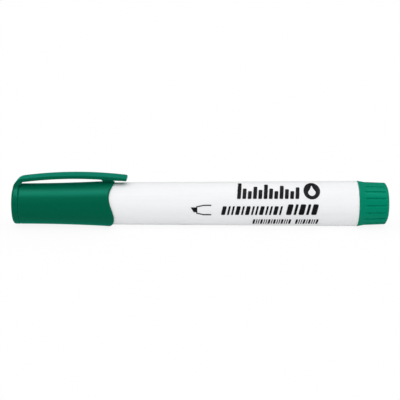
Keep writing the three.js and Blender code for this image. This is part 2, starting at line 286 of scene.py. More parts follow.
def lathe(datum: Datum, shape: Outline, columns: int, poles: bool, reshape: Reshape | None = None) -> Surface:
    """Turns an outline about the axis: across is the distance times sin a, height is it times cos a.

    The angle a starts at the top. Distances are drawn in by the ratio of a 48-sided ring's inside to its
    outside, so that the round surface rests on the same floor as the faceted solid.

    Args:
        datum: Where the marker lies.
        shape: The outline.
        columns: How many points go round.
        poles: True if the outline starts and ends on the axis.
        reshape: Changes (station, distance, angle) grids into new stations and distances.

    Returns:
        The closed surface.
    """
    angle = np.linspace(0, TURN, columns, endpoint=False)[None, :]
    station = shape.along[:, None] + 0 * angle
    distance = shape.out[:, None] + 0 * angle
    if reshape is not None:
        station, distance = reshape(station, distance, angle + 0 * station)
    distance = distance * INSCRIBED
    rows = datum.place(station, distance * np.sin(angle), distance * np.cos(angle))
    return skin(rows, shape.edge, poles)


def groove_across(angle: np.ndarray, count: int, turned: float, radius: float, width: float) -> np.ndarray:
    """Marks evenly spaced bands round a ring, 1 inside and eased to 0 over a tenth of a millimetre.

    The distance to the nearest band's middle is the radius times the angle left over after whole
    pitches.

    Args:
        angle: Angles from the top.
        count: How many bands there are.
        turned: The first band's angle.
        radius: The ring's radius.
        width: The bands' width.

    Returns:
        The mark at each angle.
    """
    pitch = TURN / count
    off = np.abs((angle - turned + pitch / 2) % pitch - pitch / 2) * radius
    return smoothstep(off, width / 2 + 0.05, width / 2 - 0.05)


def rounded_section(corner_steps: int = 5) -> tuple[np.ndarray, np.ndarray]:
    """Gives a rounded rectangle's points as shares of its flat half sizes and of its corner radius.

    Each corner is a quarter circle, and each side has a point close to either corner and one halfway.

    Args:
        corner_steps: Steps on each quarter circle.

    Returns:
        Two arrays of pairs (across, up): the flat share and the corner share.
    """
    signs = np.array([[1, 1], [-1, 1], [-1, -1], [1, -1]], float)
    flats: list[np.ndarray] = []
    curves: list[np.ndarray] = []
    for quarter in range(4):
        angle = (quarter + np.linspace(0, 1, corner_steps + 1)) * math.pi / 2
        turn = np.stack([np.cos(angle), np.sin(angle)], axis=-1)
        between = np.array([0.04, 0.5, 0.96])[:, None]
        after = signs[(quarter + 1) % 4]
        here = signs[quarter]
        flats += [np.repeat(here[None], len(angle), axis=0), here * (1 - between) + after * between]
        curves += [turn, np.repeat(turn[-1][None], 3, axis=0)]
    return np.concatenate(flats), np.concatenate(curves)


def ribbon(
    datum: Datum, upper: np.ndarray, lower: np.ndarray, half_width: np.ndarray, corner: np.ndarray
) -> Surface:
    """Carries a rounded rectangle between an upper and a lower line, and closes both ends.

    At each row the rectangle's middle is halfway between the two lines, its height is their distance and
    its width lies across the marker. A point is the middle, plus its flat share of the half sizes less
    the corner radius, plus its corner share of the radius.

    Args:
        datum: Where the marker lies.
        upper: The upper line's (station, height) points.
        lower: The lower line's points, as many.
        half_width: Half the width at each row.
        corner: The corner radius at each row.

    Returns:
        The closed surface.
    """
    flat, curve = rounded_section()
    middle = (upper + lower) / 2
    rise = (upper - lower) / 2
    half_height = np.linalg.norm(rise, axis=1)
    up = rise / half_height[:, None]
    across = (half_width - corner)[:, None] * flat[:, 0] + corner[:, None] * curve[:, 0]
    along_up = (half_height - corner)[:, None] * flat[:, 1] + corner[:, None] * curve[:, 1]
    station = middle[:, :1] + up[:, :1] * along_up
    height = middle[:, 1:] + up[:, 1:] * along_up
    rows = datum.place(station, across, height)
    ends = [np.repeat(rows[i].mean(axis=0)[None, None], rows.shape[1], axis=1) for i in (0, -1)]
    rows = np.concatenate([ends[0], rows, ends[1]])
    return skin(rows, np.full(len(rows), 0.3), poles=True)


# ---------------------------------------------------------------- materials


class Nodes:
    """A short way to write a node tree."""

    def __init__(self, tree: bpy.types.NodeTree) -> None:
        """Takes the tree and empties it."""
        self.tree = tree
        tree.nodes.clear()

    def add(self, kind: str, settings: dict[str, object] | None = None, **inputs: object) -> bpy.types.Node:
        """Adds a node.

        Args:
            kind: The node's type, without the leading ShaderNode.
            settings: Properties of the node.
            **inputs: A value or an output socket for each named input, with _ for a blank.

        Returns:
            The node.
        """
        prefix = "" if kind.startswith("NodeGroup") else "ShaderNode"
        node = self.tree.nodes.new(prefix + kind)
        for name, value in (settings or {}).items():
            setattr(node, name, value)
        for name, value in inputs.items():
            self.feed(node.inputs[name.replace("_", " ")], value)
        return node

    def feed(self, socket: bpy.types.NodeSocket, value: object) -> None:
        """Links an output into the socket, or sets the socket's own value."""
        if isinstance(value, bpy.types.NodeSocket):
            self.tree.links.new(value, socket)
        elif isinstance(value, tuple) and socket.type == "RGBA":
            socket.default_value = (*value, 1.0)
        else:
            socket.default_value = value

    def math(self, operation: str, first: object, second: object = 0.0) -> bpy.types.NodeSocket:
        """Adds a Math node and gives its output."""
        node = self.add("Math", {"operation": operation})
        self.feed(node.inputs[0], first)
        self.feed(node.inputs[1], second)
        return node.outputs[0]

    def mix(self, factor: object, first: object, second: object) -> bpy.types.NodeSocket:
        """Adds a colour Mix node and gives its output."""
        node = self.add("Mix", {"data_type": "RGBA"})
        self.feed(node.inputs["Factor"], factor)
        self.feed(node.inputs[6], first)
        self.feed(node.inputs[7], second)
        return node.outputs[2]

    def ramp(self, value: object, low: float, high: float) -> bpy.types.NodeSocket:
        """Adds a smooth Map Range from low..high to 0..1 and gives its output."""
        node = self.add("MapRange", {"interpolation_type": "SMOOTHSTEP"})
        self.feed(node.inputs["Value"], value)
        node.inputs["From Min"].default_value = low
        node.inputs["From Max"].default_value = high
        return node.outputs[0]


def new_group(name: str, inputs: dict[str, float], outputs: dict[str, str]) -> bpy.types.NodeTree:
    """Makes an empty shader node group with number inputs.

    Args:
        name: The group's name.
        inputs: Each input's name and its value when nothing is said.
        outputs: Each output's name and its socket type.

    Returns:
        The group.
    """
    group = bpy.data.node_groups.new(name, "ShaderNodeTree")
    for label, value in inputs.items():
        socket = group.interface.new_socket(label, in_out="INPUT", socket_type="NodeSocketFloat")
        socket.default_value = value
    for label, kind in outputs.items():
        group.interface.new_socket(label, in_out="OUTPUT", socket_type=kind)
    return group


class Effects:
    """The effects that several materials share, each a node group."""

    def __init__(self) -> None:
        """Builds every group once."""
        self.moulded = self._moulded()
        self.handled = self._handled()
        self.fibres = self._fibres()

    @staticmethod
    def _moulded() -> bpy.types.NodeTree:
        """Makes the skin of moulded plastic: slow mottling, flow lines along the marker and fine grain.

        Returns:
            A group that gives Mottle from 0 to 1 and Height.
        """
        group = new_group(
            "moulded_skin",
            {"Grain Size": 0.00025, "Flow": 0.5},
            {"Mottle": "NodeSocketFloat", "Height": "NodeSocketFloat"},
        )
        nodes = Nodes(group)
        given = nodes.add("NodeGroupInput")
        place = nodes.add("TexCoord").outputs["Object"]
        slow = nodes.add("TexNoise", Vector=place, Scale=110.0, Detail=2.0, Roughness=0.5)
        stretched = nodes.add("Mapping", Vector=place, Scale=(45.0, 900.0, 900.0))
        flow = nodes.add("TexNoise", Vector=stretched.outputs[0], Scale=1.0, Detail=3.0, Roughness=0.55)
        density = nodes.math("DIVIDE", 1.0, given.outputs["Grain Size"])
        fine = nodes.add("TexNoise", Vector=place, Scale=density, Detail=2.0, Roughness=0.6)
        share = nodes.add("Mix", {"data_type": "FLOAT"}, Factor=given.outputs["Flow"])
        nodes.feed(share.inputs[2], slow.outputs[0])
        nodes.feed(share.inputs[3], flow.outputs[0])
        mottle = nodes.ramp(share.outputs[0], 0.3, 0.7)
        height = nodes.math("ADD", nodes.math("MULTIPLY", fine.outputs[0], 0.35), share.outputs[0])
        nodes.add("NodeGroupOutput", Mottle=mottle, Height=height)
        return group

    @staticmethod
    def _handled() -> bpy.types.NodeTree:
        """Makes the marks of handling: rubbed rounded edges, hairline scratches and a few dull smears.

        Returns:
            A group that gives Rub, Scratch and Smear, each from 0 to 1.
        """
        group = new_group(
            "handling_marks",
            {"Amount": 0.5},
            {"Rub": "NodeSocketFloat", "Scratch": "NodeSocketFloat", "Smear": "NodeSocketFloat"},
        )
        nodes = Nodes(group)
        given = nodes.add("NodeGroupInput").outputs["Amount"]
        place = nodes.add("TexCoord").outputs["Object"]
        edge = nodes.add("Attribute", {"attribute_name": "edge"}).outputs["Fac"]
        patch = nodes.add("TexNoise", Vector=place, Scale=420.0, Detail=4.0, Roughness=0.65).outputs[0]
        rub = nodes.math("MULTIPLY", nodes.math("MULTIPLY", edge, nodes.ramp(patch, 0.42, 0.66)), given)
        warped = nodes.add("Mapping", Vector=place, Rotation=(0.3, 0.5, 0.9), Scale=(140.0, 1500.0, 1500.0))
        hair = nodes.add("TexNoise", {"noise_type": "FBM"}, Vector=warped.outputs[0], Scale=1.0, Detail=0.0)
        line = nodes.math("ABSOLUTE", nodes.math("SUBTRACT", hair.outputs[0], 0.5))
        sparse = nodes.add("TexNoise", Vector=place, Scale=160.0, Detail=1.0).outputs[0]
        scratch = nodes.math("MULTIPLY", nodes.ramp(line, 0.006, 0.0), nodes.ramp(sparse, 0.55, 0.7))
        smear = nodes.ramp(nodes.add("TexNoise", Vector=place, Scale=65.0, Detail=5.0).outputs[0], 0.45, 0.75)
        nodes.add(
            "NodeGroupOutput",
            Rub=rub,
            Scratch=nodes.math("MULTIPLY", scratch, given),
            Smear=nodes.math("MULTIPLY", smear, given),
        )
        return group

    @staticmethod
    def _fibres() -> bpy.types.NodeTree:
        """Makes fibres that run along the marker.

        Returns:
            A group that gives Strand from 0 to 1 and Height.
        """
        group = new_group(
            "fibre_bundle",
            {"Fibre Width": 0.00008, "Stretch": 0.04},
            {"Strand": "NodeSocketFloat", "Height": "NodeSocketFloat"},
        )
        nodes = Nodes(group)
        given = nodes.add("NodeGroupInput")
        place = nodes.add("TexCoord").outputs["Object"]
        density = nodes.math("DIVIDE", 1.0, given.outputs["Fibre Width"])
        axes = nodes.add("SeparateXYZ", Vector=place)
        along = nodes.math("MULTIPLY", axes.outputs["X"], given.outputs["Stretch"])
        line = nodes.add("CombineXYZ", X=along, Y=axes.outputs["Y"], Z=axes.outputs["Z"]).outputs[0]
        strand = nodes.add("TexNoise", Vector=line, Scale=density, Detail=3.0, Roughness=0.6).outputs[0]
        fluff = nodes.add("TexNoise", Vector=place, Scale=density, Detail=2.0).outputs[0]
        height = nodes.math("ADD", strand, nodes.math("MULTIPLY", fluff, 0.4))
        nodes.add("NodeGroupOutput", Strand=nodes.ramp(strand, 0.32, 0.68), Height=height)
        return group


@dataclass(frozen=True)
class Look:
    """What a finish feeds its shader: sockets for colour, roughness and height, and constant values."""

    colour: bpy.types.NodeSocket
    rough: bpy.types.NodeSocket
    height: bpy.types.NodeSocket
    relief: float
    strength: float
    constants: dict[str, object]


@dataclass(frozen=True)
class Finish:
    """A finish: the name of its material, and the record's slot that it belongs to."""

    name: str
    slot: str

    def look(self, nodes: Nodes, effects: Effects) -> Look:
        """Adds the nodes of the finish's own kind."""
        raise NotImplementedError

    def build(self, effects: Effects) -> bpy.types.Material:
        """Makes the material: the look's colour, roughness and bump on one shader.

        Args:
            effects: The shared node groups.

        Returns:
            The material.
        """
        material = bpy.data.materials.new(self.name)
        material.use_nodes = True
        nodes = Nodes(material.node_tree)
        look = self.look(nodes, effects)
        bump = nodes.add("Bump", Strength=look.strength, Distance=look.relief, Height=look.height)
        shader = nodes.add(
            "BsdfPrincipled", Base_Color=look.colour, Roughness=look.rough, Normal=bump.outputs[0]
        )
        for label, value in look.constants.items():
            shader.inputs[label].default_value = value
        nodes.add("OutputMaterial", Surface=shader.outputs[0])
        return material


@dataclass(frozen=True)
class MouldedPlastic(Finish):
    """A moulded polypropylene finish."""

    base: Colour
    deep: Colour
    rubbed: Colour
    shine: Colour = (1.0, 1.0, 1.0)
    roughness: float = 0.3
    specular: float = 0.5
    sheen: float = 0.0
    sheen_tint: Colour = (1.0, 1.0, 1.0)
    scatter: float = 0.0
    scatter_depth: float = 0.002
    flow: float = 0.5
    handling: float = 0.4
    relief: float = 0.000012
    mottled_roughness: float = 0.05
    smeared_roughness: float = 0.1
    scratched_roughness: float = 0.12
    scratch_depth: float = 0.8

    def look(self, nodes: Nodes, effects: Effects) -> Look:
        """Mixes the colours by the mottling and the rub, and roughens scratches and smears.

        Args:
            nodes: The material's tree.
            effects: The shared node groups.

        Returns:
            The look.
        """
        moulded = nodes.add("Group", {"node_tree": effects.moulded}, Flow=self.flow).outputs
        marks = nodes.add("Group", {"node_tree": effects.handled}, Amount=self.handling).outputs
        colour = nodes.mix(moulded["Mottle"], self.deep, self.base)
        colour = nodes.mix(nodes.math("MULTIPLY", marks["Rub"], 0.5), colour, self.rubbed)
        mottled = nodes.math("MULTIPLY", moulded["Mottle"], self.mottled_roughness)
        rough = nodes.math("ADD", mottled, self.roughness - self.mottled_roughness / 2)
        for mark, more in (("Smear", self.smeared_roughness), ("Scratch", self.scratched_roughness)):
            rough = nodes.math("ADD", rough, nodes.math("MULTIPLY", marks[mark], more))
        scratched = nodes.math("MULTIPLY", marks["Scratch"], self.scratch_depth)
        height = nodes.math("SUBTRACT", moulded["Height"], scratched)
        constants = {
            "Specular IOR Level": self.specular,
            "Specular Tint": (*self.shine, 1.0),
            "Sheen Weight": self.sheen,
            "Sheen Tint": (*self.sheen_tint, 1.0),
            "Sheen Roughness": 0.45,
            "Subsurface Weight": self.scatter,
            "Subsurface Scale": self.scatter_depth,
            "Subsurface Radius": (1.0, 1.0, 1.0),
        }
        return Look(colour, rough, height, self.relief, 0.5, constants)


@dataclass(frozen=True)
class Fibrous(Finish):
    """Felt or a bundle of fibres, soaked with ink."""

    wet: Colour
    dry: Colour
    fibre_width: float
    stretch: float
    relief: float
    roughness: float = 0.75

    def look(self, nodes: Nodes, effects: Effects) -> Look:
        """Colours each strand between wet and dry, with clouds where the ink lies thicker.

        Args:
            nodes: The material's tree.
            effects: The shared node groups.

        Returns:
            The look.
        """
        strands = nodes.add(
            "Group", {"node_tree": effects.fibres}, Fibre_Width=self.fibre_width, Stretch=self.stretch
        ).outputs
        place = nodes.add("TexCoord").outputs["Object"]
        cloud = nodes.add("TexNoise", Vector=place, Scale=300.0, Detail=3.0).outputs[0]
        share = nodes.math("MULTIPLY", strands["Strand"], nodes.ramp(cloud, 0.3, 0.75))
        colour = nodes.mix(share, self.wet, self.dry)
        rough = nodes.math("ADD", nodes.math("MULTIPLY", share, 0.2), self.roughness - 0.1)
        return Look(colour, rough, strands["Height"], self.relief, 0.8, {"Specular IOR Level": 0.3})


@dataclass(frozen=True)
class Film(Finish):
    """A thin clear or milky plastic film."""

    tint: Colour
    clear: float
    roughness: float

    def look(self, nodes: Nodes, effects: Effects) -> Look:
        """Lets light through, with the film's own drawn lines in its gloss.

        Args:
            nodes: The material's tree.
            effects: The shared node groups.

        Returns:
            The look.
        """
        drawn = nodes.add("Group", {"node_tree": effects.moulded}, Flow=0.9).outputs
        colour = nodes.mix(drawn["Mottle"], tuple(0.9 * c for c in self.tint), self.tint)
        rough = nodes.math("ADD", nodes.math("MULTIPLY", drawn["Mottle"], 0.08), self.roughness)
        return Look(colour, rough, drawn["Height"], 0.00001, 0.4, {"Transmission Weight": self.clear})


@dataclass(frozen=True)
class PrintInk(Finish):
    """Screen ink on the barrel."""

    dense: Colour
    thin: Colour
    faded: Colour = (0.3, 0.3, 0.3)

    def look(self, nodes: Nodes, effects: Effects) -> Look:
        """Varies the ink's density, with pale hairlines and slightly thin rims.

        Args:
            nodes: The material's tree.
            effects: The shared node groups.

        Returns:
            The look.
        """
        laid = nodes.add("Group", {"node_tree": effects.moulded}, Grain_Size=0.0001, Flow=0.3).outputs
        marks = nodes.add("Group", {"node_tree": effects.handled}, Amount=0.6).outputs
        worn = nodes.math("MAXIMUM", marks["Rub"], marks["Scratch"])
        colour = nodes.mix(laid["Mottle"], self.dense, self.thin)
        colour = nodes.mix(nodes.math("MULTIPLY", worn, 0.15), colour, self.faded)
        rough = nodes.math("ADD", nodes.math("MULTIPLY", laid["Mottle"], 0.1), 0.42)
        return Look(colour, rough, laid["Height"], 0.000008, 0.5, {"Specular IOR Level": 0.15})


GREEN_SHINE = (0.05, 1.0, 0.72)
GREEN_SHEEN = (0.0, 0.9, 0.62)
CAP_GREEN = MouldedPlastic(
    "cap_green_plastic", "cap_green", base=(0.0, 0.109, 0.052), deep=(0.0, 0.1, 0.0475),
    rubbed=(0.02, 0.12, 0.075), shine=GREEN_SHINE, roughness=0.33, specular=1.0,
    flow=0.6, sheen=0.5, sheen_tint=GREEN_SHEEN,
)
# Painted light: the plug is the same green plastic as the cap, with its greens painted about twice as light
# to stand in for the brighter light that falls on it.
PLUG_GREEN_PAINTED_LIGHTER = MouldedPlastic(
    "plug_green_painted_lighter", "plug_green", base=(0.0, 0.222, 0.124), deep=(0.0, 0.204, 0.114),
    rubbed=(0.03, 0.3, 0.19), shine=GREEN_SHINE, roughness=0.36, specular=0.5,
    flow=0.3, sheen=0.35, sheen_tint=GREEN_SHEEN,
)
BARREL_WHITE = MouldedPlastic(
    "barrel_white_plastic", "barrel_white", base=(0.86, 0.865, 0.875), deep=(0.84, 0.845, 0.855),
    rubbed=(0.89, 0.89, 0.89), roughness=0.42, specular=0.12, scatter=0.35, scatter_depth=0.0015,
    flow=0.8, handling=0.3,
)
HOLDER_WHITE = MouldedPlastic(
    "holder_white_plastic", "holder_white", base=(0.78, 0.785, 0.78), deep=(0.74, 0.745, 0.74),
    rubbed=(0.84, 0.84, 0.84), roughness=0.42, specular=0.4, scatter=0.15, flow=0.4,
)
LINER_NATURAL = MouldedPlastic(
    "liner_natural_plastic", "liner_natural", base=(0.72, 0.74, 0.7), deep=(0.66, 0.68, 0.64),
    rubbed=(0.8, 0.8, 0.78), roughness=0.45, specular=0.4, scatter=0.4, flow=0.4,
)
INKED_FELT = Fibrous(
    "inked_felt", "inked_felt", wet=(0.0, 0.028, 0.016), dry=(0.012, 0.12, 0.07),
    fibre_width=0.00009, stretch=0.25, relief=0.00008,
)
INKED_FIBRE = Fibrous(
    "inked_fibre", "inked_fibre", wet=(0.0, 0.05, 0.028), dry=(0.08, 0.3, 0.2),
    fibre_width=0.00006, stretch=0.03, relief=0.00005, roughness=0.65,
)
CLEAR_FILM = Film("clear_film", "clear_film", tint=(0.93, 0.95, 0.94), clear=0.9, roughness=0.12)
BLACK_INK = PrintInk(
    "black_print_ink", "barrel_white", dense=(0.006, 0.006, 0.008), thin=(0.012, 0.012, 0.014)
)
WHITE_INK = PrintInk("white_print_ink", "barrel_white", dense=(0.8, 0.8, 0.81), thin=(0.74, 0.74, 0.75))


class Wardrobe:
    """Builds each finish once and puts it on pieces."""

    def __init__(self) -> None:
        """Builds the shared effects."""
        self.effects = Effects()
        self.made: dict[str, bpy.types.Material] = {}

    def material(self, finish: Finish) -> bpy.types.Material:
        """Gives the finish's material, built the first time that it is asked for."""
        if finish.name not in self.made:
            self.made[finish.name] = finish.build(self.effects)
        return self.made[finish.name]

    def new_piece(self, name: str, surface: Surface, finish: Finish) -> bpy.types.Object:
        """Makes an object at the origin from a surface, with its edge marks and finish.

        Args:
            name: The piece's name.
            surface: Its shape, in metres of the frame.
            finish: Its finish.

        Returns:
            The object, not yet riding on a body.
        """
        mesh = bpy.data.meshes.new(name)
        mesh.from_pydata(surface.vertices, [], surface.faces)
        marks = mesh.attributes.new("edge", "FLOAT", "POINT")
        marks.data.foreach_set("value", surface.edge.astype(np.float32))
        mesh.shade_smooth()
        mesh.set_sharp_from_angle(angle=SHARP_ANGLE)
        mesh.materials.append(self.material(finish))
        mesh.validate()
        piece = bpy.data.objects.new(name, mesh)
        bpy.context.scene.collection.objects.link(piece)
        log.info("%s: %d vertices, %d faces", name, len(mesh.vertices), len(mesh.polygons))
        return piece

    def dress_node(self, node: str, finish: Finish) -> None:
        """Puts the finish on a CAD node that stays as it is."""
        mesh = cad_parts[node].data
        mesh.materials.clear()
        mesh.materials.append(self.material(finish))
        log.info("%s: kept, dressed in %s", node, finish.name)


# ---------------------------------------------------------------- the pen


@dataclass
class Barrel:
    """The white tube, with the ribs in its bore."""

    datum: Datum
    front: float
    rear: float
    front_radius: float = 7.73
    rear_radius: float = 8.33
    wall: float = 1.25
    end_trim: float = 0.2
    rib_count: int = 4
    rib_width: float = 1.0
    rib_front: float = 10.6
    rib_rear: float = 84.05
    rib_top: float = 6.23
    rib_ease: float = 0.5

    def radius(self, station: np.ndarray) -> np.ndarray:
        """Gives the outer radius, which grows evenly from front to rear."""
        share = (station - self.front) / (self.rear - self.front)
        return self.front_radius + (self.rear_radius - self.front_radius) * share

    def tube(self) -> Surface:
        """Turns the tube's wall, with ribs inside that keep the reservoir centred.

        The bore's distance becomes the ribs' top wherever both the rib's band round the bore and its
        stretch along it are 1.

        Returns:
            The tube.
        """
        end = self.rear - self.end_trim
        wall = outline(
            [
                Corner(self.front, self.front_radius, 0.25),
                Corner(end, self.rear_radius, 0.12),
                Corner(end, self.rear_radius - self.wall, 0.15),
                Corner(self.front, self.front_radius - self.wall, 0.15),
            ],
            closed=True,
            step=1.6,
        )

        def ribs(station: Grid, distance: Grid, angle: Grid) -> tuple[Grid, Grid]:
            """Lowers the bore to the ribs' top where a rib stands."""
            bore = distance < self.radius(station) - 0.9 * self.wall
            turned = math.pi / self.rib_count
            band = groove_across(angle, self.rib_count, turned, self.rib_top, self.rib_width)
            behind, ease = station - self.front, self.rib_ease
            band = band * smoothstep(behind, self.rib_front - ease, self.rib_front + ease)
            band = band * smoothstep(behind, self.rib_rear + ease, self.rib_rear - ease)
            return station, distance + bore * band * (self.rib_top - distance)

        return lathe(self.datum, wall, 240, poles=False, reshape=ribs)


@dataclass(frozen=True)
class Stroke:
    """A bold mark: a four-sided block from its foot to its head, leaning by lean, with rounded corners."""

    station: float
    foot: float
    head: float
    width: float
    lean: float = 0.0

    def edge_line(self) -> np.ndarray:
        """Gives the block's (station, height) outline, going round once."""
        middle, half = self.station + self.lean, self.width / 2
        corners = [
            (self.station - half, self.foot),
            (self.station + half, self.foot),
            (middle + half, self.head),
            (middle - half, self.head),
        ]
        radius = 0.22 * min(self.width, abs(self.head - self.foot))
        shape = outline([Corner(x, y, radius) for x, y in corners], closed=True, step=0.8, arc_steps=4)
        return np.stack([shape.along, shape.out], axis=-1)


@dataclass
class Print:
    """The printed marks, drawn flat as seen square on from the front and laid on the barrel.

    A height h on the flat drawing lands where the barrel, seen from the front and 14 degrees above, is h
    above its axis: across and height are h times that view's up, plus root(r squared - h squared) times
    its towards, with r the barrel's radius.
    """

    barrel: Barrel
    tilt: float = VIEW_TILT
    proud: float = 0.03
    sunk: float = 0.03

    def laid(self, line: np.ndarray, lift: float) -> np.ndarray:
        """Lays flat points on the barrel.

        Args:
            line: Points (station, height) with shape (..., 2).
            lift: How far above the barrel's surface they lie.

        Returns:
            Frame points in metres.
        """
        station, height = line[..., 0], line[..., 1]
        radius = self.barrel.radius(station) * INSCRIBED + lift
        towards = np.sqrt(radius**2 - height**2)
        across = height * math.sin(self.tilt) - towards * math.cos(self.tilt)
        up = height * math.cos(self.tilt) + towards * math.sin(self.tilt)
        return self.barrel.datum.place(station, across, up)

    def patch(self, line: np.ndarray, rings: int = 5, lift: float = 0.0) -> Surface:
        """Fills an outline with a thin closed film of ink.

        The outline shrinks in even steps to its middle on the top and again on the underside.

        Args:
            line: The outline's flat points.
            rings: Steps from the middle to the outline.
            lift: More height for a second layer.

        Returns:
            The film.
        """
        middle = line.mean(axis=0)
        shares = np.linspace(0, 1, rings + 1)
        grown = middle + (line - middle)[None] * shares[:, None, None]
        top = self.laid(grown, self.proud + lift)
        below = self.laid(grown[::-1], lift - self.sunk)
        rows = np.concatenate([top, below])
        edge = np.concatenate([shares**4, shares[::-1] ** 4])
        return skin(rows, edge, poles=True)

    def disc(self, station: float, height: float, radius: float) -> np.ndarray:
        """Gives a circle's flat outline."""
        angle = np.linspace(0, TURN, 48, endpoint=False)
        return np.stack([station + radius * np.cos(angle), height + radius * np.sin(angle)], axis=-1)


# ---------------------------------------------------------------- the studio


@dataclass(frozen=True)
class Lamp:
    """A distant lamp above the front: its use, its strength, how wide it looks, and how high it stands."""

    name: str
    use: LampUse
    strength: float
    spread: float
    elevation: float

    def build(self) -> None:
        """Adds the lamp, seen only by the kind of ray that it is for."""
        lamp = bpy.data.lights.new(self.name, "SUN")
        lamp.energy = self.strength
        lamp.angle = math.radians(self.spread)
        light = bpy.data.objects.new(self.name, lamp)
        light.rotation_euler = (math.pi / 2 - math.radians(self.elevation), 0, 0)
        light.visible_diffuse = self.use is LampUse.LIGHT
        light.visible_glossy = self.use is LampUse.GLOSS
        bpy.context.scene.collection.objects.link(light)


@dataclass
class Studio:
    """A pale floor, a soft high light and the camera."""

    datum: Datum
    elevation: float = VIEW_TILT
    distance: float = 386.3
    aim_along: float = -0.129
    aim_up: float = 1.273
    lens: float = 94.45
    floor_half: float = 6.0
    dark: Colour = (0.01, 0.01, 0.01)
    paper: Colour = (0.94, 0.94, 0.94)
    glow: Colour = (0.84, 0.84, 0.84)
    glow_share: float = 0.56
    seen_glow_share: float = 0.89
    sky: float = 0.8
    mirrored_sky: float = 0.008
    lamps: tuple[Lamp, ...] = (
        Lamp("soft_key", LampUse.LIGHT, strength=0.96, spread=60, elevation=56),
        Lamp("gloss_strip", LampUse.GLOSS, strength=0.64, spread=40, elevation=77),
    )

    def build(self) -> None:
        """Makes the floor, the sky, the lamps and the camera."""
        self._floor()
        self._sky()
        for lamp in self.lamps:
            lamp.build()
        self._camera()
        bpy.context.scene.view_settings.view_transform = "Standard"

    def _floor(self) -> None:
        """Lays a wide floor under the marker, part lit paper and part glow, and dark in gloss.

        The glow, which also keeps the marker's shade pale, has a larger share where the camera sees it.
        """
        size = self.floor_half
        mesh = bpy.data.meshes.new("floor")
        corners = [(-size, -size, 0), (size, -size, 0), (size, size, 0), (-size, size, 0)]
        mesh.from_pydata(corners, [], [(0, 1, 2, 3)])
        floor = bpy.data.objects.new("floor", mesh)
        bpy.context.scene.collection.objects.link(floor)
        material = bpy.data.materials.new("pale_floor")
        material.use_nodes = True
        nodes = Nodes(material.node_tree)
        ray = nodes.add("LightPath").outputs
        shade = nodes.mix(ray["Is Glossy Ray"], self.paper, self.dark)
        shine = nodes.mix(ray["Is Glossy Ray"], self.glow, self.dark)
        paper = nodes.add("BsdfDiffuse", Color=shade)
        glow = nodes.add("Emission", Color=nodes.mix(ray["Is Camera Ray"], shine, (1.0, 1.0, 1.0)))
        more = nodes.math("MULTIPLY", ray["Is Camera Ray"], self.seen_glow_share - self.glow_share)
        lit = nodes.add("MixShader", Fac=nodes.math("ADD", more, self.glow_share))
        nodes.feed(lit.inputs[1], paper.outputs[0])
        nodes.feed(lit.inputs[2], glow.outputs[0])
        nodes.add("OutputMaterial", Surface=lit.outputs[0])
        mesh.materials.append(material)

    def _sky(self) -> None:
        """Surrounds the scene with even white light that looks dark in gloss, as dark screens do."""
        world = bpy.data.worlds.new("studio")
        bpy.context.scene.world = world
        world.use_nodes = True
        nodes = Nodes(world.node_tree)
        ray = nodes.add("LightPath").outputs
        less = nodes.math("MULTIPLY", ray["Is Glossy Ray"], self.mirrored_sky - self.sky)
        strength = nodes.math("MAXIMUM", nodes.math("ADD", less, self.sky), ray["Is Camera Ray"])
        light = nodes.add("Background", Color=(1.0, 1.0, 1.0), Strength=strength)
        nodes.add("OutputWorld", Surface=light.outputs[0])

    def _camera(self) -> None:
        """Looks along +Y and down by the elevation, at a point just above the marker's middle."""
        camera = bpy.data.objects.new("camera", bpy.data.cameras.new("camera"))
        bpy.context.scene.collection.objects.link(camera)
        camera.data.lens = self.lens
        camera.data.clip_start = 0.01
        down = self.elevation
        look = Vector((0, math.cos(down), -math.sin(down)))
        up = Vector((0, math.sin(down), math.cos(down)))
        middle = Vector((self.aim_along, 0, self.datum.axis)) + self.aim_up * up
        camera.location = (middle - self.distance * look) * MM
        camera.rotation_euler = look.to_track_quat("-Z", "Y").to_euler()
        bpy.context.scene.camera = camera


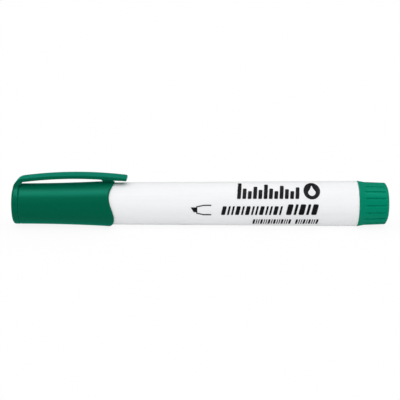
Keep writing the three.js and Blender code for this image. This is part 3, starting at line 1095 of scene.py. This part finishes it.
@dataclass
class EndPlug:
    """The fluted plug at the rear, with a flared rim and a skirt inside the barrel."""

    barrel: Barrel
    flute_count: int = 18
    flute_depth: float = 0.43
    flute_width: float = 0.66
    flute_turn: float = math.radians(3)
    flutes_from: float = 0.9
    flutes_to: float = 9.7
    flute_ramp: float = 2.3
    skirt: float = 8.0
    skirt_radius: float = 6.908
    bore_radius: float = 5.908
    inner_face: float = 9.5
    end: float = 10.9
    rim_step: float = 0.1
    rim_radius: float = 8.38
    rim_curve: tuple[Corner, ...] = (Corner(0.7, 8.26, 1.5), Corner(2.1, 8.0, 4.0))
    side_from: float = 2.6
    side_radius: float = 8.02
    side_draft: float = 0.036
    side_ease: tuple[float, float] = (7.2, 7.5)
    edge_radius: float = 7.65
    face_radius: float = 6.3
    fin_start: float = 2.0
    fin_thickness: float = 1.0

    def body(self) -> Surface:
        """Turns the plug, with flutes pressed into its side.

        A flute is a hollow whose depth falls off with the squared distance to its middle line as a bell
        does, and it runs out smoothly near the rim and near the end.

        Returns:
            The plug.
        """
        rear = self.barrel.rear
        sides = np.linspace(self.side_from, self.flutes_to - 0.1, 22)
        shape = outline(
            [
                Corner(rear + self.inner_face, 0),
                Corner(rear + self.inner_face, self.bore_radius, 0.6),
                Corner(rear - self.skirt, self.bore_radius, 0.3),
                Corner(rear - self.skirt, self.skirt_radius, 0.3),
                Corner(rear - self.rim_step, self.skirt_radius, 0.1),
                Corner(rear - self.rim_step, self.rim_radius, 0.12),
                *[Corner(rear + bend.along, bend.out, bend.round) for bend in self.rim_curve],
                *[Corner(rear + side, self.side_radius - self.side_draft * side) for side in sides],
                Corner(rear + self.end - 0.75, self.edge_radius, 0.5),
                Corner(rear + self.end, self.face_radius, 1.2),
                Corner(rear + self.end, 0),
            ],
            closed=False,
            step=0.9,
        )

        def flutes(station: Grid, distance: Grid, angle: Grid) -> tuple[Grid, Grid]:
            """Presses the flutes into the outer side."""
            behind = station - rear
            outside = smoothstep(distance, *self.side_ease)
            pitch = TURN / self.flute_count
            turned = (angle - math.pi + self.flute_turn + pitch / 2) % pitch - pitch / 2
            off = turned * distance / (self.flute_width / 2)
            stretch = smoothstep(behind, self.flutes_from, self.flutes_from + self.flute_ramp)
            stretch = stretch * smoothstep(behind, self.flutes_to + 0.5, self.flutes_to - 0.8)
            return station, distance - self.flute_depth * outside * stretch * np.exp(-(off**2) * 1.6)

        return lathe(self.barrel.datum, shape, self.flute_count * 24, poles=True, reshape=flutes)

    def fins(self) -> list[Surface]:
        """Makes the crossed walls inside the skirt, each a flat bar that crosses the bore."""
        rear = self.barrel.rear
        level = np.linspace(rear - self.fin_start, rear + self.inner_face + 0.2, 9)
        flat = np.ones_like(level)
        reach, half = self.bore_radius + 0.3, self.fin_thickness / 2
        return [
            ribbon(
                self.barrel.datum,
                np.stack([level, tall * flat], axis=-1),
                np.stack([level, -tall * flat], axis=-1),
                wide * flat,
                0.1 * flat,
            )
            for tall, wide in ((reach, half), (half, reach))
        ]


@dataclass
class WritingEnd:
    """The white nose that is pressed into the barrel, and the chisel nib that it holds."""

    datum: Datum
    snout: float
    tail: float
    tip_radius: float = 3.72
    step: float = 19.35
    neck_radius: float = 4.62
    neck_end: float = 22.55
    bead_front: float = 30.35
    bead_rear: float = 31.25
    bead_slope: float = 0.25
    bead_radius: float = 6.461
    cone_radius: float = 6.011
    collar_radius: float = 6.911
    collar_rear: float = 33.33
    spigot_radius: float = 6.36
    spigot_bore: float = 5.11
    funnel: float = 33.57
    vent_count: int = 3
    vent_size: float = 0.8
    vent_depth: float = 4.8
    bore: float = 2.62
    nib_front: float = 11.35
    nib_length: float = 38.9
    nib_radius: float = 2.5
    nib_slant: float = 2.4
    nib_half_edge: float = 0.85
    nib_bevel: float = 5.8
    nib_point: float = 2.0
    nib_rounding: float = 0.2
    nib_face: float = 0.92

    def holder(self) -> Surface:
        """Turns the nose, with air channels let into the nib's bore from the front.

        Returns:
            The nose.
        """
        shape = outline(
            [
                Corner(self.snout, self.tip_radius, 0.25),
                Corner(self.step, self.tip_radius, 0.5),
                Corner(self.step, self.neck_radius, 0.35),
                Corner(self.neck_end, self.neck_radius, 0.8),
                Corner(self.bead_front, self.cone_radius, 0.1),
                Corner(self.bead_front + self.bead_slope, self.bead_radius, 0.2),
                Corner(self.bead_rear - self.bead_slope, self.bead_radius, 0.2),
                Corner(self.bead_rear, self.cone_radius, 0.1),
                Corner(self.bead_rear, self.collar_radius, 0.2),
                Corner(self.collar_rear, self.collar_radius, 0.15),
                Corner(self.collar_rear, self.spigot_radius, 0.1),
                Corner(self.tail, self.spigot_radius, 0.3),
                Corner(self.tail, self.spigot_bore, 0.2),
                Corner(self.funnel, self.spigot_bore, 0.3),
                Corner(self.bead_rear, self.bore, 0.3),
                Corner(self.snout, self.bore, 0.2),
            ],
            closed=True,
            step=0.7,
        )

        def vents(station: Grid, distance: Grid, angle: Grid) -> tuple[Grid, Grid]:
            """Deepens the bore where an air channel runs."""
            bore = smoothstep(distance, self.bore + 0.3, self.bore + 0.1)
            turned = math.pi / self.vent_count
            band = groove_across(angle, self.vent_count, turned, self.bore, self.vent_size)
            end = self.snout + self.vent_depth
            band = band * smoothstep(station, end + 0.2, end - 0.2)
            return station, distance + bore * band * self.vent_size

        return lathe(self.datum, shape, 216, poles=False, reshape=vents)

    def nib(self) -> Surface:
        """Shapes the felt rod: round behind, cut to a slanting chisel edge in front.

        The rod's section is a circle whose sides are pressed flat, to a half thickness that grows evenly
        from the edge to the whole radius. The front rows lean back by the slant towards the rod's
        underside, and the lean dies away along the bevel. The tail narrows to a blunt point.

        Returns:
            The nib.
        """
        angle = np.linspace(0, TURN, 120, endpoint=False)[None, :]
        face = np.linspace(0, 1, 9)
        rim = np.linspace(0, math.pi / 2, 6)[1:]
        shaft_end = self.nib_length - self.nib_point
        bevelled = np.linspace(self.nib_rounding, 8, 34)[1:]
        shaft = np.concatenate([bevelled, np.linspace(8.6, shaft_end, 24)])
        tail = np.linspace(0, 1, 8)[1:]
        closing = np.linspace(1, 0, 6)[1:]
        behind = np.concatenate(
            [
                0 * face,
                self.nib_rounding * (1 - np.cos(rim)),
                shaft,
                shaft_end + self.nib_point * tail,
                np.full(len(closing), self.nib_length),
            ]
        )[:, None]
        size = np.concatenate(
            [
                self.nib_face * face,
                self.nib_face + (1 - self.nib_face) * np.sin(rim),
                np.ones(len(shaft)),
                1 - 0.5 * tail**1.5,
                0.5 * closing,
            ]
        )[:, None]
        height = self.nib_radius * np.cos(angle) * size
        lean = self.nib_slant * (self.nib_radius - height) / (2 * self.nib_radius)
        station = self.nib_front + behind + lean * smoothstep(behind, 9.0, 0.0)
        share = np.clip((station - self.nib_front) / self.nib_bevel, 0, 1)
        half = self.nib_half_edge + (self.nib_radius - self.nib_half_edge) * share
        across = self.nib_radius * np.sin(angle)
        firmness = (1 + 2 * (1 - share)) / half
        pressed = half * np.tanh(across * firmness) / np.tanh(self.nib_radius * firmness)
        across = pressed + (across - pressed) * smoothstep(share, 0.85, 1.0)
        rows = self.datum.place(station, across * size, height)
        edge = np.zeros(len(size))
        edge[len(face):len(face) + len(rim)] = 1.0
        return skin(rows, edge, poles=True)


@dataclass
class Cap:
    """The green cap's shell, and the cup inside it."""

    datum: Datum
    shell_front: float = 2.5
    mouth: float = 36.3
    flare: float = 35.4
    front_radius: float = 7.45
    flare_radius: float = 8.383
    flare_straight: float = 0.033
    wall: float = 1.1
    lobe_count: int = 3
    lobe_height: float = 0.85
    lip_bore: float = 7.943
    rebate: float = 33.15
    rebate_bore: float = 7.19
    bore_bend: float = 18.2
    bore_at_bend: float = 6.57
    bore_at_front: float = 6.35
    liner_radius: float = 5.72
    liner_wall: float = 0.9
    liner_flange: float = 1.5
    liner_flange_radius: float = 6.476

    def shell_radius(self, station: np.ndarray) -> np.ndarray:
        """Gives the outer radius, which opens towards the mouth with the square of the way along."""
        share = (station - self.shell_front) / (self.flare - self.shell_front)
        growth = self.flare_radius - self.front_radius
        return self.front_radius + self.flare_straight * share + (growth - self.flare_straight) * share**2

    def shell(self) -> Surface:
        """Turns the shell, and moves the points near its mouth along the marker in a wave.

        The wave is its height times the cosine of the lobe count times the angle, faded in over the last
        millimetres before the mouth.

        Returns:
            The shell.
        """
        lip = self.lip_bore + 0.2
        stations = np.linspace(self.shell_front + 1.2, self.flare - 0.6, 26)
        outer = [Corner(s, r) for s, r in zip(stations, self.shell_radius(stations))]
        shape = outline(
            [
                Corner(self.shell_front, self.front_radius, 0.36),
                *outer,
                Corner(self.flare + 0.4, self.flare_radius + 0.01, 0.3),
                Corner(self.mouth, lip, 0.12),
                Corner(self.mouth, self.lip_bore, 0.05),
                Corner(self.rebate, self.lip_bore, 0.2),
                Corner(self.rebate, self.rebate_bore, 0.2),
                Corner(self.bore_bend, self.bore_at_bend),
                Corner(self.shell_front, self.bore_at_front, 0.15),
            ],
            closed=True,
            step=1.0,
        )

        def wave(station: Grid, distance: Grid, angle: Grid) -> tuple[Grid, Grid]:
            """Shifts the mouth's points along the marker."""
            share = smoothstep(station, self.rebate - 0.2, self.flare - 0.2)
            return station + share * self.lobe_height * np.cos(self.lobe_count * angle), distance

        return lathe(self.datum, shape, 240, poles=False, reshape=wave)

    def liner(self) -> Surface:
        """Turns the inner cup that closes round the nib."""
        front, rear = self.datum.span("cap_liner")
        step, bore = rear - self.liner_flange, self.liner_radius - self.liner_wall
        shape = outline(
            [
                Corner(front, 0),
                Corner(front, self.liner_radius, 0.45),
                Corner(step, self.liner_radius, 0.2),
                Corner(step, self.liner_flange_radius, 0.15),
                Corner(rear, self.liner_flange_radius, 0.2),
                Corner(rear, bore, 0.35),
                Corner(front + self.liner_wall, bore, 0.5),
                Corner(front + self.liner_wall, 0),
            ],
            closed=False,
        )
        return lathe(self.datum, shape, 192, poles=True)


@dataclass
class CrownClip:
    """The cap's end disc and the clip that grows out of it, moulded in one."""

    cap: Cap
    disc_radius: float = 7.45
    disc_rear: float = 2.42
    disc_wall: float = 1.2
    spigot_radius: float = 6.23
    spigot_bore: float = 5.23
    spigot_rear: float = 5.25
    rim_ease_out: tuple[float, float] = (6.4, 7.3)
    rim_ease_along: tuple[float, float] = (2.5, 1.9)
    gate_radius: float = 1.0
    gate_depth: float = 0.12
    width: float = 6.8
    thickness: float = 1.33
    tip_thickness: float = 1.1
    peak_station: float = 23.0
    peak_height: float = 11.283
    arch: float = 149.7
    root_front: float = 0.25
    root_round: float = 4.0
    root_foot: float = 4.2
    root_flare: float = 0.45
    gap_start: float = 3.05
    edge_round: float = 0.32
    tip: float = 41.7
    tip_round: float = 0.45
    pad_front: float = 32.6
    pad_back: float = 37.0
    pad_width: float = 4.2
    pad_foot: float = 8.683
    fillet_height: float = 0.8
    fillet_width: float = 1.5
    flex_from: tuple[float, float] = (4.4, 9.4)
    flex_to: tuple[float, float] = (7.2, 11.0)

    def top(self, station: np.ndarray | float) -> np.ndarray:
        """Gives the arch's height: its peak less the fall of a large circle."""
        return self.peak_height - self.arch + np.sqrt(self.arch**2 - (station - self.peak_station) ** 2)

    def root_middle(self) -> tuple[float, float]:
        """Gives the middle of the root's round: its circle touches the arch from inside."""
        along = self.root_front + self.root_round
        rise = math.sqrt((self.arch - self.root_round) ** 2 - (along - self.peak_station) ** 2)
        return along, self.peak_height - self.arch + rise

    def root_line(self, height: np.ndarray) -> np.ndarray:
        """Gives the station of the root's front at a height: upright, then along the round."""
        along, up = self.root_middle()
        above = np.clip(height - up, 0, self.root_round)
        return along - np.sqrt(self.root_round**2 - above**2)

    def crown(self) -> Surface:
        """Turns the disc with its spigot, and fillets the rim on both sides of the clip's root.

        The fillet adds its height times the square of what is left of the way out to its foot, and its
        front leans back with the root's front line.

        Returns:
            The disc.
        """
        shape = outline(
            [
                Corner(0, 0),
                Corner(0, self.disc_radius, 0.9),
                Corner(self.disc_rear, self.disc_radius, 0.32),
                Corner(self.disc_rear, self.spigot_radius, 0.1),
                Corner(self.spigot_rear, self.spigot_radius, 0.3),
                Corner(self.spigot_rear, self.spigot_bore, 0.2),
                Corner(self.disc_wall, self.spigot_bore, 0.3),
                Corner(self.disc_wall, 0),
            ],
            closed=False,
            step=0.35,
            arc_steps=9,
        )

        def gusset(station: Grid, distance: Grid, angle: Grid) -> tuple[Grid, Grid]:
            """Raises the disc's rim beside the clip's root and dimples the middle of its face."""
            sideways = np.abs(distance * np.sin(angle))
            away = np.clip((sideways - self.width / 2 + 0.25) / self.fillet_width, 0, 1)
            on_rim = smoothstep(distance, *self.rim_ease_out) * smoothstep(station, *self.rim_ease_along)
            lift = self.fillet_height * (1 - away) ** 2 * on_rim * (np.cos(angle) >= 0)
            middle = smoothstep(distance, self.gate_radius + 0.1, self.gate_radius - 0.1)
            gate = self.gate_depth * middle * (station < 0.3)
            height = (distance + lift) * np.cos(angle)
            leaning = np.maximum(station, self.root_line(height) + 0.04)
            return np.where(lift > 0.02, leaning, station) + gate, distance + lift

        return lathe(self.cap.datum, shape, 240, poles=True, reshape=gusset)

    def root_lines(self) -> tuple[np.ndarray, np.ndarray]:
        """Draws the root's two lines, as many points on each.

        The upper line climbs the root and follows a quarter round that touches the arch. The lower line
        climbs behind the root and turns in a tight corner. It is cut at the same shares of its length.

        Returns:
            The upper and the lower line, as (station, height) points.
        """
        along, up = self.root_middle()
        end_angle = math.atan2(self.peak_station - along, up - self.peak_height + self.arch)
        turn = np.linspace(math.pi, math.pi / 2 + end_angle, 22)
        quarter = np.array([along, up]) + self.root_round * np.stack([np.cos(turn), np.sin(turn)], axis=-1)
        climb = np.linspace(self.root_foot, up, 6)[:-1]
        upper = np.concatenate([np.stack([0 * climb + self.root_front, climb], axis=-1), quarter])
        end = float(quarter[-1, 0])
        behind = outline(
            [
                Corner(self.disc_rear, self.root_foot),
                Corner(self.disc_rear, 7.5, 0.08),
                Corner(self.gap_start, 7.6, 0.1),
                Corner(self.gap_start, float(self.top(self.gap_start)) - self.thickness, 0.55),
                Corner(end, float(self.top(end)) - self.thickness),
            ],
            closed=False,
            step=0.25,
        )
        lower = np.stack([behind.along, behind.out], axis=-1)
        shares = []
        for line in (upper, lower):
            reach = np.concatenate([[0], np.cumsum(np.linalg.norm(np.diff(line, axis=0), axis=1))])
            shares.append(reach / reach[-1])
        cut = [np.interp(shares[0], shares[1], lower[:, axis]) for axis in (0, 1)]
        return upper, np.stack(cut, axis=-1)

    def arm(self) -> Surface:
        """Carries one ribbon up the root and along the arch.

        The ribbon widens towards the disc as a smooth ease of the height above it, and its tip is rounded
        seen from above as well as along its edges.

        Returns:
            The arm.
        """
        upper_root, lower_root = self.root_lines()
        straight = self.tip - self.tip_round
        swing = np.linspace(0, math.pi / 2, 10)[1:]
        body = np.linspace(float(upper_root[-1, 0]), straight, 90)[1:]
        along = np.concatenate([body, straight + self.tip_round * np.sin(swing)])
        thinning = (self.thickness - self.tip_thickness) * smoothstep(along, self.pad_back, self.tip)
        under = self.top(along) - self.thickness + thinning
        upper = np.concatenate([upper_root, np.stack([along, self.top(along)], axis=-1)])
        lower = np.concatenate([lower_root, np.stack([along, under], axis=-1)])
        half = np.full(len(upper), self.width / 2)
        half += self.root_flare * smoothstep(upper[:, 1], 9.9, 5.2) * (upper[:, 0] < 5)
        end = slice(-len(swing), None)
        half[end] -= self.tip_round * (1 - np.cos(swing))
        soften = smoothstep(along[end], self.tip - 0.3, self.tip)
        squeeze = 0.28 * (1 - np.sqrt(np.clip(1 - soften**2, 0, 1)))[:, None] * (upper - lower)[end]
        upper[end] -= squeeze
        lower[end] += squeeze
        return ribbon(self.cap.datum, upper, lower, half, np.full(len(upper), self.edge_round))

    def pad(self) -> Surface:
        """Makes the foot under the clip: a rounded block whose ends slope up to the arch."""
        along = np.concatenate(
            [[self.pad_front - 0.25], np.linspace(self.pad_front, self.pad_back, 28), [self.pad_back + 0.25]]
        )
        upper = np.stack([along, self.top(along) - 0.35 * self.thickness], axis=-1)
        inset = np.minimum(along - along[0], along[-1] - along)
        sole = self.pad_foot + 0.53 * (1 - smoothstep(inset, 0.0, 0.9))
        lower = np.stack([along, sole], axis=-1)
        lower[:, 1] = np.minimum(lower[:, 1], upper[:, 1] - 0.5)
        half = self.pad_width / 2 - 0.3 * (1 - smoothstep(inset, 0.0, 0.5))
        return ribbon(self.cap.datum, upper, lower, half, np.full(len(along), 0.2))

    def bend_points(self) -> tuple[Vector, Vector]:
        """Gives the two frame points between which the clip starts to bend."""
        return tuple(
            Vector(self.cap.datum.place(np.array(s), np.array(0.0), np.array(h)).tolist())
            for s, h in (self.flex_from, self.flex_to)
        )


# ---------------------------------------------------------------- the marks


@dataclass(frozen=True)
class Row:
    """A row of leaning blocks, side by side from start to end, with widths as shares of one another."""

    start: float
    end: float
    foot: float
    head: float
    widths: tuple[int, ...]
    lean: float
    gap: float

    def lines(self) -> list[np.ndarray]:
        """Gives the blocks' flat outlines."""
        shares = np.array(self.widths, float)
        room = self.end - self.start - self.lean - self.gap * (len(shares) - 1)
        sizes = shares / shares.sum() * room
        middles = self.start + np.cumsum(sizes + self.gap) - self.gap - sizes / 2
        return [Stroke(m, self.foot, self.head, w, self.lean).edge_line() for m, w in zip(middles, sizes)]


@dataclass
class Marks:
    """The generic marks that stand where a maker prints: bars, a round badge with a drop, and a nib."""

    print: Print
    bar_start: float = 81.7
    bar_end: float = 104.1
    bar_foot: float = 1.65
    bar_height: float = 5.7
    bar_gap: float = 0.55
    bar_shares: tuple[float, ...] = (1.0, 0.66, 0.5, 0.78, 0.58, 0.92, 0.66, 0.5, 0.84, 0.62, 0.5, 0.74)
    rows: tuple[Row, ...] = (
        Row(75.9, 98.3, -4.15, -0.98, (2, 1, 1, 2, 1, 2, 1, 1, 2, 1, 1, 2, 1), lean=0.75, gap=0.72),
        Row(99.3, 111.3, -4.15, -0.3, (2, 1, 2, 1, 2), lean=0.95, gap=0.8),
        Row(87.4, 101.5, -7.4, -5.75, (2, 1, 1, 2, 1, 1, 2, 1, 2, 1, 1, 2, 1, 1, 2), lean=0.35, gap=0.42),
        Row(102.9, 111.4, -7.4, -5.75, (2, 1, 1, 2, 1, 2, 1, 1, 2), lean=0.35, gap=0.42),
    )
    badge_station: float = 108.8
    badge_height: float = 4.48
    badge_radius: float = 3.0
    drop_height: float = 4.1
    drop_radius: float = 1.35
    nib_middle: float = -2.35
    line_width: float = 0.4

    def bold_row(self) -> list[np.ndarray]:
        """Sets a row of leaning bars of different heights on one foot line."""
        count = len(self.bar_shares)
        width = (self.bar_end - self.bar_start - self.bar_gap * (count - 1)) / count
        first, pitch, foot = self.bar_start + width / 2, width + self.bar_gap, self.bar_foot
        return [
            Stroke(first + i * pitch, foot, foot + share * self.bar_height, width, 0.5 * share).edge_line()
            for i, share in enumerate(self.bar_shares)
        ]

    def nib_sign(self) -> list[np.ndarray]:
        """Draws a nib: a solid chisel and two bent lines for its shoulders, made of short bars."""
        middle = self.nib_middle
        lines = [
            ((67.2, middle - 1.15), (67.2, middle + 1.15)),
            ((67.2, middle + 1.15), (69.7, middle + 1.7)),
            ((69.7, middle + 1.7), (72.3, middle + 1.7)),
            ((67.2, middle - 1.15), (69.7, middle - 1.7)),
            ((69.7, middle - 1.7), (72.3, middle - 1.7)),
        ]
        chisel = outline(
            [
                Corner(65.0, middle + 0.95, 0.1),
                Corner(66.1, middle - 0.8, 0.15),
                Corner(67.2, middle - 0.8, 0.1),
                Corner(67.2, middle + 0.95, 0.1),
            ],
            closed=True,
            step=0.4,
            arc_steps=3,
        )
        return [np.stack([chisel.along, chisel.out], axis=-1)] + [self.bar(a, b) for a, b in lines]

    def bar(self, start: tuple[float, float], end: tuple[float, float]) -> np.ndarray:
        """Gives the outline of a straight bar with round ends.

        Args:
            start: One end's (station, height).
            end: The other end's.

        Returns:
            The flat outline.
        """
        first, last = np.array(start), np.array(end)
        heading = math.atan2(*(last - first)[::-1])
        arc = heading + np.linspace(-math.pi / 2, math.pi / 2, 7)
        cap = self.line_width / 2 * np.stack([np.cos(arc), np.sin(arc)], axis=-1)
        far, near = last + cap, first - cap
        sides = np.linspace(0, 1, 7)[1:-1, None]
        there = far[-1] + (near[0] - far[-1]) * sides
        back = near[-1] + (far[0] - near[-1]) * sides
        return np.concatenate([far, there, near, back])

    def drop(self) -> np.ndarray:
        """Draws a drop: a circle drawn out to a point above."""
        angle = np.linspace(0, TURN, 40, endpoint=False)
        pull = np.maximum(np.cos(angle), 0) ** 6
        narrow = 1 - 0.55 * np.maximum(np.cos(angle), 0) ** 1.5
        station = self.badge_station + self.drop_radius * np.sin(angle) * narrow
        height = self.drop_height + self.drop_radius * np.cos(angle) + 1.0 * pull
        return np.stack([station, height], axis=-1)

    def black(self) -> Surface:
        """Lays every black mark on the barrel."""
        lines = self.bold_row()
        for row in self.rows:
            lines += row.lines()
        parts = [self.print.patch(line) for line in lines + self.nib_sign()]
        badge = self.print.disc(self.badge_station, self.badge_height, self.badge_radius)
        parts.append(self.print.patch(badge, rings=9))
        return Surface.joined(parts)

    def white(self) -> Surface:
        """Lays the drop on the round badge."""
        return self.print.patch(self.drop(), rings=6, lift=0.03)


# ---------------------------------------------------------------- assembly


def build_pen(datum: Datum, wardrobe: Wardrobe) -> None:
    """Builds what stays in the hand: barrel, print, plug, writing end and reservoir.

    Args:
        datum: Where the marker lies.
        wardrobe: Makes and dresses the pieces.
    """
    barrel = Barrel(datum, *datum.span("barrel"))
    tube = wardrobe.new_piece("barrel_tube", barrel.tube(), BARREL_WHITE)
    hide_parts("barrel")
    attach(tube, Body.PEN.value)
    marks = Marks(Print(barrel))
    for name, surface, ink in (
        ("barrel_marks", marks.black(), BLACK_INK),
        ("badge_drop", marks.white(), WHITE_INK),
    ):
        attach(wardrobe.new_piece(name, surface, ink), Body.PEN.value)
    plug = EndPlug(barrel)
    fluted = Surface.joined([plug.body(), *plug.fins()])
    plug_piece = wardrobe.new_piece("end_plug_fluted", fluted, PLUG_GREEN_PAINTED_LIGHTER)
    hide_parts("end_plug")
    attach(plug_piece, Body.PEN.value)
    writing = WritingEnd(datum, *datum.span("nib_holder"))
    for name, surface, finish, node in (
        ("nib_holder_nose", writing.holder(), HOLDER_WHITE, "nib_holder"),
        ("chisel_nib", writing.nib(), INKED_FELT, "nib"),
    ):
        piece = wardrobe.new_piece(name, surface, finish)
        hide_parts(node)
        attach(piece, Body.PEN.value)
    wardrobe.dress_node("reservoir_core", INKED_FIBRE)
    wardrobe.dress_node("reservoir_wrap", CLEAR_FILM)
    wardrobe.dress_node("breather_tube", LINER_NATURAL)


def build_cap(datum: Datum, wardrobe: Wardrobe) -> None:
    """Builds the cap: its shell, its inner cup, and the end disc with the clip.

    Args:
        datum: Where the marker lies.
        wardrobe: Makes and dresses the pieces.
    """
    cap = Cap(datum)
    shell = wardrobe.new_piece("cap_flared_shell", cap.shell(), CAP_GREEN)
    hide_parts("cap_shell")
    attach(shell, Body.CAP.value)
    liner = wardrobe.new_piece("cap_inner_cup", cap.liner(), LINER_NATURAL)
    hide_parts("cap_liner")
    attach(liner, Body.LINER.value)
    crown = CrownClip(cap)
    one_piece = Surface.joined([crown.crown(), crown.arm(), crown.pad()])
    moulding = wardrobe.new_piece("crown_with_clip", one_piece, CAP_GREEN)
    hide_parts("cap_crown", "clip")
    start, end = crown.bend_points()
    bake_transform(moulding)


def main() -> None:
    """Builds the studio, the pen and the cap, in that order, and notes the sizes."""
    logging.basicConfig(level=logging.INFO, format="%(name)s: %(message)s")
    datum = Datum.from_frame()
    Studio(datum).build()
    wardrobe = Wardrobe()
    build_pen(datum, wardrobe)
    build_cap(datum, wardrobe)


if __name__ == "__main__":
    main()
